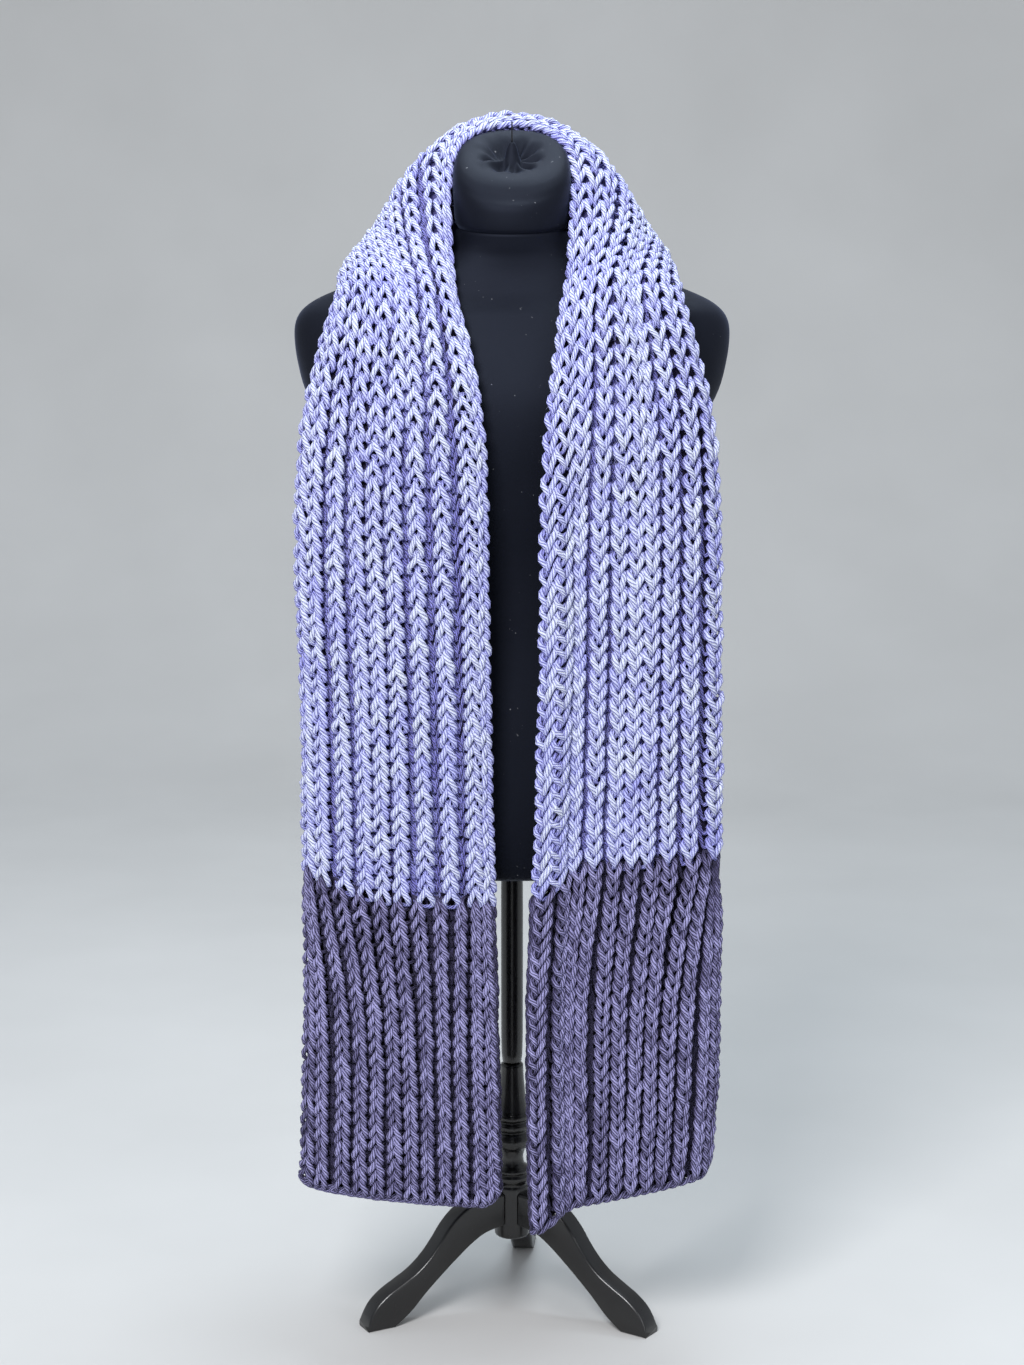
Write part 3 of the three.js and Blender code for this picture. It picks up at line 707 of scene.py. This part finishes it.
hem_right = edge_twist("caston_right", 0.5 - 0.5 * (1 + OVERLAP / last_pitch) + 0.20, -1.0, DARK)
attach(hem_right, "root")


# the ground of the cloth: a sheet coloured dark as painted shade for the depth behind the loops
GROUND_BACK = -2.8


def ground_sheet(first, last, end):
    wales = END_WALES if end else WALES
    a = np.linspace(0.12, wales - 0.12, wales * 2 + 1)[None, :]
    low = first - 0.2 if first == 0 else first
    high = last + 0.2 if last == ROWS else last
    b = np.linspace(low, high, (last - first) * 2 + 1)[:, None]
    along = s_of(b + 0 * a)
    p, n = surface(wale_u(a, along, end), along)
    rows, cols = p.shape[:2]
    r, c = np.meshgrid(np.arange(rows - 1), np.arange(cols - 1), indexing="ij")
    r, c = r.ravel(), c.ravel()
    faces = np.stack([r * cols + c, r * cols + c + 1, (r + 1) * cols + c + 1, (r + 1) * cols + c], -1).tolist()
    return to_row(p + n * GROUND_BACK).reshape(-1, 3), faces


def ground_object():
    verts, faces, mats, base = [], [], [], 0
    spans = ((0, ROW_COLOUR_RIGHT, 1), (ROW_COLOUR_RIGHT, neck_rows[0], 0), (neck_rows[0], neck_rows[1], 2),
             (neck_rows[1], ROW_COLOUR_LEFT, 0), (ROW_COLOUR_LEFT, ROWS, 1))
    for first, last, m in spans:
        v, f = ground_sheet(first, last, m == 1)
        verts.append(v)
        faces += [[x + base for x in q] for q in f]
        mats += [m] * len(f)
        base += len(v)
    ob = new_object("scarf_ground", np.concatenate(verts), faces, LILAC_PAINTED_SHADE)
    ob.data.materials.append(DARK_PAINTED_SHADE)
    ob.data.materials.append(NECK_PAINTED_SHADE)
    ob.data.polygons.foreach_set("material_index", np.array(mats, np.int32))
    return ob


ground = ground_object()
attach(ground, "root")

# ------------------------------------------------------------ dress form
BODY = np.array([
    # z     half  front back  round cy   tilt
    (441.5, 146, 88, 96, 2.2, 0, 0), (446, 155, 94, 104, 2.2, 0, 0), (462, 163, 99, 112, 2.2, 0, 0),
    (500, 168, 102, 118, 2.2, 0, 0), (560, 163, 100, 117, 2.2, 0, 0), (620, 147, 93, 105, 2.2, 0, 0),
    (675, 128, 88, 91, 2.2, 0, 0), (725, 124, 89, 85, 2.2, 0, 0), (780, 136, 97, 89, 2.2, 0, 0),
    (825, 156, 102, 93, 2.15, 0, 0), (858, 176, 102, 94, 2.1, 0, 0), (885, 190, 98, 93, 2.1, 0, 0),
    (912, 197, 89, 91, 2.1, 0, 0), (934, 199.5, 80, 88, 2.1, 0, 0), (948, 198, 74, 85, 2.1, 0, 0),
    (958, 192, 70, 82, 2.1, 0, 0), (967, 180, 65, 78, 2.05, 1, 0), (976, 160, 61, 74, 2.0, 2, 0),
    (985, 136, 58, 70, 2.0, 2, 0), (994, 110, 56, 66, 2.0, 2, 1), (1003, 85, 54, 62, 2.0, 1, 2),
    (1012, 66, 52, 57, 2.0, -1, 3), (1021, 55, 51, 53, 2.0, -4, 5), (1033, 49.5, 49.5, 49.5, 2.0, -8, 7),
])
CAP = np.array([
    (1033.4, 49.5, 49.5, 49.5, 2, -8, 7), (1038.5, 51.8, 51.8, 51.8, 2, -8.5, 8),
    (1056, 53.0, 52.5, 52.5, 2, -9.5, 14), (1072, 53.8, 53.0, 53.0, 2, -10, 23),
    (1083, 53.2, 52.0, 51.5, 2.15, -9.5, 30), (1090, 51.2, 50.0, 49.0, 2.3, -9, 33),
    (1095, 47.0, 46.0, 44.5, 2.3, -8.5, 34), (1097, 38.5, 38.0, 37.0, 2.2, -8.5, 34),
    (1095.5, 27.0, 27.0, 27.0, 2.1, -8.3, 33), (1089, 16.0, 16.0, 16.0, 2, -8, 28),
    (1089.5, 10.0, 10.0, 10.0, 2, -7.5, 20), (1096, 6.6, 6.6, 6.6, 2, -7, 12),
    (1103, 4.8, 4.8, 4.8, 2, -6, 6), (1108, 2.6, 2.6, 2.6, 2, -6, 0),
])


def curve_rows(table, per):
    """Rows between the table's rows, on a smooth curve through them."""
    d = np.concatenate([[0], np.cumsum(np.linalg.norm(np.diff(table[:, :4], axis=0), axis=1) + 1e-3)])
    n = len(table)
    hi, lo = np.minimum(np.arange(n) + 1, n - 1), np.maximum(np.arange(n) - 1, 0)
    m = (table[hi] - table[lo]) / (d[hi] - d[lo])[:, None]
    out = []
    for k in range(n - 1):
        h = d[k + 1] - d[k]
        for t in np.arange(per) / per:
            out.append((2 * t**3 - 3 * t**2 + 1) * table[k] + (t**3 - 2 * t**2 + t) * m[k] * h
                       + (3 * t**2 - 2 * t**3) * table[k + 1] + (t**3 - t**2) * m[k + 1] * h)
    out.append(table[-1])
    return np.array(out)


def ring_points(row, around):
    z, half, front, back, rnd, cy, tilt = row
    a = 2 * np.pi * np.arange(around) / around
    c, s = np.cos(a), np.sin(a)
    x = half * np.sign(c) * np.abs(c) ** (2 / rnd)
    y = np.where(s < 0, front, back) * np.sign(s) * np.abs(s) ** (2 / rnd)
    lean = math.radians(tilt)
    return np.stack([x, cy + y * math.cos(lean), z + y * math.sin(lean)], -1)


def loft(name, rings, material, smooth=True):
    """Closed solid through rings of equal count, (R, A, 3) in mm."""
    R, A, _ = rings.shape
    verts = rings.reshape(-1, 3)
    r, k = np.meshgrid(np.arange(R - 1), np.arange(A), indexing="ij")
    k2 = (k + 1) % A
    quads = np.stack([r * A + k, r * A + k2, (r + 1) * A + k2, (r + 1) * A + k], -1).reshape(-1, 4).tolist()
    low, high = len(verts), len(verts) + 1
    verts = np.concatenate([verts, rings[0].mean(0)[None], rings[-1].mean(0)[None]])
    for k in range(A):
        quads.append([low, (k + 1) % A, k])
        quads.append([high, (R - 1) * A + k, (R - 1) * A + (k + 1) % A])
    return new_object(name, to_row(verts), quads, material, smooth)


def jersey_material():
    net = Net("black_jersey")
    obj = net.put("ShaderNodeTexCoord").outputs["Object"]
    # fine vertical knit ribs and the odd thicker thread
    wave = net.put("ShaderNodeTexWave", wave_type="BANDS", bands_direction="X")
    wave.inputs["Scale"].default_value = 420.0
    wave.inputs["Distortion"].default_value = 2.0
    wave.inputs["Detail"].default_value = 2.0
    net.join(obj, wave.inputs["Vector"])
    fine = net.noise(obj, 1500.0, 3.0, 0.6)
    broad = net.noise(obj, 9.0, 3.0, 0.55)
    lint = net.noise(obj, 300.0, 1.0, 0.4)
    lint2 = net.noise(obj, 47.0, 1.0, 0.4)
    speck = net.math("MULTIPLY", net.ramp(lint, [(0.755, 0.0), (0.79, 1.0)]), net.ramp(lint2, [(0.52, 0.0), (0.60, 1.0)]))
    base = net.ramp(broad, [(0.3, (0.0016, 0.0018, 0.0034)), (0.75, (0.0036, 0.0039, 0.0066))])
    col = net.mix(net.math("MULTIPLY", speck, 0.45), base, (0.35, 0.36, 0.38))
    net.join(col, net.bsdf.inputs["Base Color"])
    net.bsdf.inputs["Specular IOR Level"].default_value = 0.22
    net.join(net.ramp(broad, [(0.2, 0.56), (0.8, 0.68)]), net.bsdf.inputs["Roughness"])
    net.bsdf.inputs["Specular Tint"].default_value = (0.60, 0.70, 1.0, 1.0)
    net.bsdf.inputs["Sheen Weight"].default_value = 0.12
    net.bsdf.inputs["Sheen Roughness"].default_value = 0.35
    net.bsdf.inputs["Sheen Tint"].default_value = (0.42, 0.52, 0.90, 1.0)
    h = net.math("ADD", net.math("MULTIPLY", wave.outputs["Fac"], 0.6), net.math("MULTIPLY", fine, 0.7))
    net.join(net.bump(h, 0.25, 0.0004), net.bsdf.inputs["Normal"])
    return net.mat


def paint_material():
    net = Net("black_paint")
    obj = net.put("ShaderNodeTexCoord").outputs["Object"]
    mapping = net.put("ShaderNodeMapping")
    mapping.inputs["Scale"].default_value = (1.0, 1.0, 0.12)
    net.join(obj, mapping.inputs["Vector"])
    grain = net.noise(mapping.outputs[0], 260.0, 4.0, 0.6)
    broad = net.noise(obj, 22.0, 3.0, 0.5)
    dust = net.noise(obj, 700.0, 2.0, 0.5)
    base = net.ramp(broad, [(0.3, (0.0036, 0.0034, 0.0036)), (0.8, (0.008, 0.0076, 0.008))])
    col = net.mix(net.math("MULTIPLY", net.ramp(dust, [(0.70, 0.0), (0.80, 1.0)]), 0.25), base, (0.16, 0.16, 0.17))
    net.join(col, net.bsdf.inputs["Base Color"])
    net.join(net.ramp(grain, [(0.25, 0.26), (0.8, 0.40)]), net.bsdf.inputs["Roughness"])
    net.bsdf.inputs["Specular IOR Level"].default_value = 0.5
    net.bsdf.inputs["Coat Weight"].default_value = 0.25
    net.bsdf.inputs["Coat Roughness"].default_value = 0.16
    net.join(net.bump(grain, 0.12, 0.0004), net.bsdf.inputs["Normal"])
    return net.mat


def steel_material():
    net = Net("pin_steel")
    obj = net.put("ShaderNodeTexCoord").outputs["Object"]
    n = net.noise(obj, 900.0, 2.0, 0.5)
    net.join(net.ramp(n, [(0.3, (0.004, 0.004, 0.005)), (0.8, (0.010, 0.010, 0.012))]), net.bsdf.inputs["Base Color"])
    net.bsdf.inputs["Metallic"].default_value = 0.25
    net.join(net.ramp(n, [(0.2, 0.28), (0.9, 0.42)]), net.bsdf.inputs["Roughness"])
    return net.mat


JERSEY, PAINT, STEEL = jersey_material(), paint_material(), steel_material()

body_rows = curve_rows(BODY, 4)
body = loft("form_cover", np.stack([ring_points(r, 120) for r in body_rows]), JERSEY)
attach(body, "root"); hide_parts("form_body")

# the cap: gathered folds run out from the knot and fade before the rim
cap_rows = curve_rows(CAP, 6)
cap_rings = np.stack([ring_points(r, 144) for r in cap_rows])
GATHERS = [
    # direction deg, spread deg, from r, to r, height mm
    (206, 9, 7, 34, 4.6), (190, 8, 7, 32, -4.2), (176, 8, 8, 34, 1.8), (232, 13, 8, 28, -2.2),
    (254, 10, 8, 26, 1.6), (280, 12, 8, 24, -1.6), (304, 9, 8, 26, 2.2), (322, 8, 8, 28, -3.0),
    (338, 9, 8, 28, 3.0), (356, 8, 8, 30, -3.2), (12, 8, 8, 30, 3.0), (29, 8, 8, 32, -3.2),
    (46, 9, 8, 30, 2.4), (64, 10, 8, 28, -2.4), (92, 12, 8, 28, 1.8), (120, 12, 8, 30, -1.8),
    (142, 8, 9, 40, -1.5), (157, 7, 9, 42, 1.3),
]
_centre = np.array([0.0, -7.0])
_rel = cap_rings[:, :, :2] - _centre
_rad = np.linalg.norm(_rel, axis=2)
_ang = np.degrees(np.arctan2(_rel[:, :, 1], _rel[:, :, 0])) % 360
_lift = np.zeros_like(_rad)
for ang, spread, r0, r1, height in GATHERS:
    d = (_ang - ang + 180) % 360 - 180
    k = np.clip((_rad - r0) / (r1 - r0), 0, 1)
    _lift += 1.35 * height * np.exp(-(d / spread) ** 2) * np.sin(np.pi * k ** 0.6) ** 1.2
top_part = step01((cap_rings[:, :, 2] - 1070) / 10)
cap_rings[:, :, 2] += _lift * top_part
cap = loft("form_cap_cover", cap_rings, JERSEY)
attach(cap, "root"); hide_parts("form_neck_cap")

# pin
t = np.linspace(0, 1, 9)
pin_rings = []
for k in t:
    r = 0.75 * (1 - 0.15 * k)
    z = 1108.4 + (1127 - 1108.4) * k
    a = 2 * np.pi * np.arange(16) / 16
    pin_rings.append(np.stack([r * np.cos(a), -6 + r * np.sin(a), np.full(16, z)], -1))
pin = loft("pin", np.array(pin_rings), STEEL)
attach(pin, "root"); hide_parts("cap_pin")

# ----------------------------------------------------------------- stand
POST_PROFILE = [
    (14.5, 66), (16.6, 68), (17, 72), (17, 116), (15.4, 119), (15.6, 121), (18, 124), (18, 128), (15.8, 130),
    (17.6, 132.5), (17, 135.5), (12, 138.5), (10.6, 146), (12.6, 154), (16.6, 157.5), (18.2, 163.5), (16.6, 169.5),
    (13.4, 172), (17.4, 176), (17.4, 180), (14.2, 182.5), (17.6, 186), (17.6, 189.5), (15.6, 192), (13.2, 206),
    (11.6, 222), (10.9, 232), (10.9, 240),
]


def turned(name, profile, material, per=5, around=72):
    prof = np.array([(0.2, profile[0][1])] + profile + [(0.2, profile[-1][1])], float)
    d = np.concatenate([[0], np.cumsum(np.linalg.norm(np.diff(prof, axis=0), axis=1))])
    q = np.unique(np.concatenate([np.linspace(d[k], d[k + 1], per, endpoint=False) for k in range(len(d) - 1)] + [[d[-1]]]))
    dense = np.stack([np.interp(q, d, prof[:, c]) for c in (0, 1)], -1)
    for _ in range(2):
        dense[1:-1] = (dense[:-2] + 2 * dense[1:-1] + dense[2:]) / 4
    a = 2 * np.pi * np.arange(around) / around
    rings = np.stack([np.stack([r * np.cos(a), r * np.sin(a), np.full(around, z)], -1) for r, z in dense])
    return loft(name, rings, material)


post = turned("turned_post", POST_PROFILE, PAINT)
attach(post, "root"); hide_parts("stand_post")
pole = turned("pole", [(10.5, 240.3), (10.5, 441.2)], PAINT, per=8, around=48)
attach(pole, "root"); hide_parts("stand_pole")

LEG_TOP = [(12, 113), (30, 112), (48, 108), (62, 100), (74, 88), (84, 74), (95, 61),
           (108, 50), (123, 41.5), (137, 34), (149, 24.5), (156, 14), (159, 6), (159, 0)]
LEG_UNDER = [(131, 0), (124, 4.5), (113, 13), (98, 28), (81, 43), (64, 57), (48, 69), (34, 76.5), (12, 81)]
LEG_TURN = {"leg_left": 208, "leg_right": 326, "leg_back": 85}
LEG_HALF = 11.0
DRUM_R = 17.3


def spline2(points, per):
    p = np.array(points, float)
    d = np.concatenate([[0], np.cumsum(np.linalg.norm(np.diff(p, axis=0), axis=1))])
    n = len(p)
    hi, lo = np.minimum(np.arange(n) + 1, n - 1), np.maximum(np.arange(n) - 1, 0)
    m = (p[hi] - p[lo]) / (d[hi] - d[lo])[:, None]
    out = []
    for k in range(n - 1):
        h = d[k + 1] - d[k]
        for t in np.arange(per) / per:
            out.append((2 * t**3 - 3 * t**2 + 1) * p[k] + (t**3 - 2 * t**2 + t) * m[k] * h
                       + (3 * t**2 - 2 * t**3) * p[k + 1] + (t**3 - t**2) * m[k + 1] * h)
    out.append(p[-1])
    return np.array(out)


def leg_object(name, degrees):
    """A sawn plank leg with softened edges. Stations run from the drum to the toe."""
    top = spline2(LEG_TOP[:-1], 4)
    under = spline2(LEG_UNDER[::-1], 4)
    N = 64
    def even(c):
        d = np.concatenate([[0], np.cumsum(np.linalg.norm(np.diff(c, axis=0), axis=1))])
        return np.stack([np.interp(np.linspace(0, d[-1], N), d, c[:, k]) for k in (0, 1)], -1)
    heel = np.array([(131, 0.0)])
    foot = np.array([(131 + 28 * k / 6, 0.0) for k in range(1, 7)])
    low = np.concatenate([under, foot])
    T, U = even(top), even(low)
    ROUND = 3.2
    rings = []
    for k in range(N):
        t, u = T[k], U[k]
        ax = (t - u)
        L = np.linalg.norm(ax)
        ax = ax / max(L, 1e-6)
        r = min(ROUND, L * 0.3)
        loop = []
        for cy, cz, a0 in ((LEG_HALF - r, L - r, 0), (-(LEG_HALF - r), L - r, 90), (-(LEG_HALF - r), r * 0.5, 180), (LEG_HALF - r, r * 0.5, 270)):
            for q in range(5):
                a = math.radians(a0 + 90 * q / 4)
                rr = r if a0 < 180 else r * 0.5
                yy = cy + r * math.cos(a) if a0 < 180 else cy + r * math.cos(a)
                zz = cz + (r if a0 < 180 else rr) * math.sin(a)
                loop.append((yy, zz))
        loop = np.array(loop)
        pts = np.zeros((len(loop), 3))
        pts[:, 0] = u[0] + ax[0] * loop[:, 1]
        pts[:, 1] = loop[:, 0]
        pts[:, 2] = u[1] + ax[1] * loop[:, 1]
        # the inner end follows the round drum
        limit = np.sqrt(np.maximum(DRUM_R**2 - pts[:, 1] ** 2, 0)) + 0.1
        pts[:, 0] = np.maximum(pts[:, 0], limit)
        rings.append(pts)
    rings = np.array(rings)
    rings[:, :, 2] = np.maximum(rings[:, :, 2], 0.0)
    a = math.radians(degrees)
    x, y = rings[:, :, 0].copy(), rings[:, :, 1].copy()
    rings[:, :, 0], rings[:, :, 1] = x * math.cos(a) - y * math.sin(a), x * math.sin(a) + y * math.cos(a)
    return loft(name, rings, PAINT)


for node, degrees in LEG_TURN.items():
    leg = leg_object(node.replace("leg", "plank"), degrees)
    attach(leg, "root"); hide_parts(node)

# ------------------------------------------------------------ loose fibres
def fuzz(name, pieces, count, length, material, seed):
    """Short fine fibres that stand off the yarn, as thin three-sided hairs."""
    r = np.random.default_rng(seed)
    co, no = [], []
    for ob in pieces:
        n = len(ob.data.vertices)
        c = np.empty(n * 3, np.float32); ob.data.vertices.foreach_get("co", c)
        v = np.empty(n * 3, np.float32); ob.data.vertices.foreach_get("normal", v)
        co.append(c.reshape(-1, 3)); no.append(v.reshape(-1, 3))
    co, no = np.concatenate(co).astype(float), np.concatenate(no).astype(float)
    pick = r.integers(0, len(co), count)
    p, n = co[pick] * 1000, no[pick]
    side = unit(np.cross(n, unit(r.normal(0, 1, (count, 3)))))
    L = length * r.uniform(0.35, 1.3, (count, 1))
    up = r.uniform(0.45, 1.0, (count, 1))
    steps = np.linspace(0, 1, 4)[None, :, None]
    path = (p[:, None] + n[:, None] * (L * up)[:, None] * steps
            + side[:, None] * (L * 0.9)[:, None] * steps ** 1.7)
    path += unit(r.normal(0, 1, (count, 1, 3))) * L[:, None] * 0.35 * steps**2
    other = unit(np.cross(side, n))
    normal = np.repeat(other[:, None], 4, 1)
    radius = np.repeat(np.array([[0.075, 0.065, 0.05, 0.02]]), count, 0)
    R, M = count, 4
    tangent = unit(np.gradient(path, axis=1))
    e1 = unit(normal - (normal * tangent).sum(-1, keepdims=True) * tangent)
    e2 = np.cross(tangent, e1)
    phi = 2 * np.pi * np.arange(3) / 3
    verts = path[:, :, None] + (np.cos(phi)[:, None] * e1[:, :, None] + np.sin(phi)[:, None] * e2[:, :, None]) * radius[:, :, None, None]
    rr, m, k = np.meshgrid(np.arange(R), np.arange(M - 1), np.arange(3), indexing="ij")
    k2 = (k + 1) % 3
    at = lambda a, b, c: (a * M + b) * 3 + c
    quads = np.stack([at(rr, m, k), at(rr, m, k2), at(rr, m + 1, k2), at(rr, m + 1, k)], -1).reshape(-1, 4).tolist()
    ends = [[at(q, M - 1, 0), at(q, M - 1, 1), at(q, M - 1, 2)] for q in range(R)]
    ob = new_object(name, (verts.reshape(-1, 3) * MM), quads + ends, material)
    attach(ob, "root")
    return ob


def fuzz_material(name, colour):
    net = Net(name)
    obj = net.put("ShaderNodeTexCoord").outputs["Object"]
    n = net.noise(obj, 120.0, 1.0)
    net.join(net.mix(n, tuple(c * 0.8 for c in colour), colour), net.bsdf.inputs["Base Color"])
    net.bsdf.inputs["Roughness"].default_value = 0.7
    net.bsdf.inputs["Alpha"].default_value = 1.0
    return net.mat


fuzz_l = fuzz("fuzz_lilac", knit[1:6], 5200, 4.2, fuzz_material("fuzz_lilac", (0.62, 0.64, 0.92)), 3)
fuzz_d = fuzz("fuzz_dark", [knit[0], knit[6]], 2600, 4.0, fuzz_material("fuzz_dark", (0.26, 0.25, 0.44)), 5)

# ---------------------------------------------------------- floor and light
def stage_material():
    net = Net("floor")
    obj = net.put("ShaderNodeTexCoord").outputs["Object"]
    n = net.noise(obj, 3.0, 3.0, 0.5)
    net.join(net.ramp(n, [(0.3, (0.50, 0.495, 0.485)), (0.8, (0.54, 0.535, 0.525))]), net.bsdf.inputs["Base Color"])
    net.bsdf.inputs["Roughness"].default_value = 0.85
    return net.mat


STAGE = stage_material()
prof = [(-4.0, 0.0), (2.2, 0.0)] + [(2.2 + 1.4 * math.sin(a), 1.4 - 1.4 * math.cos(a)) for a in np.linspace(0.1, math.pi / 2, 14)] + [(3.6, 5.0)]
sv, sf = [], []
for k, (y, z) in enumerate(prof):
    sv += [(-5.0, y, z), (5.0, y, z)]
    if k:
        sf.append((2 * k - 2, 2 * k - 1, 2 * k + 1, 2 * k))
stage = new_object("floor", sv, sf, STAGE)

bpy.context.scene.view_settings.view_transform = "Standard"
world = bpy.data.worlds.new("world")
bpy.context.scene.world = world
world.use_nodes = True
world.node_tree.nodes["Background"].inputs[0].default_value = (0.86, 0.92, 1.0, 1.0)
world.node_tree.nodes["Background"].inputs[1].default_value = 0.46


def area(name, place, target, size, power, colour):
    data = bpy.data.lights.new(name, "AREA")
    data.shape = "RECTANGLE"
    data.size, data.size_y = size
    data.energy = power
    data.color = colour
    ob = bpy.data.objects.new(name, data)
    bpy.context.scene.collection.objects.link(ob)
    ob.location = place
    ob.rotation_euler = (Vector(target) - Vector(place)).to_track_quat("-Z", "Y").to_euler()
    return ob


area("key", (-0.9, -2.6, 2.8), (0, 0, 0.7), (1.2, 1.2), 128, (0.98, 0.98, 1.0))
area("fill", (2.4, -2.2, 1.5), (0, 0, 0.7), (1.6, 1.6), 20, (0.95, 0.97, 1.0))
area("top", (0.2, 0.5, 3.2), (0, 0, 0.9), (1.4, 1.4), 70, (0.80, 0.91, 1.0))

bpy.context.view_layer.update()
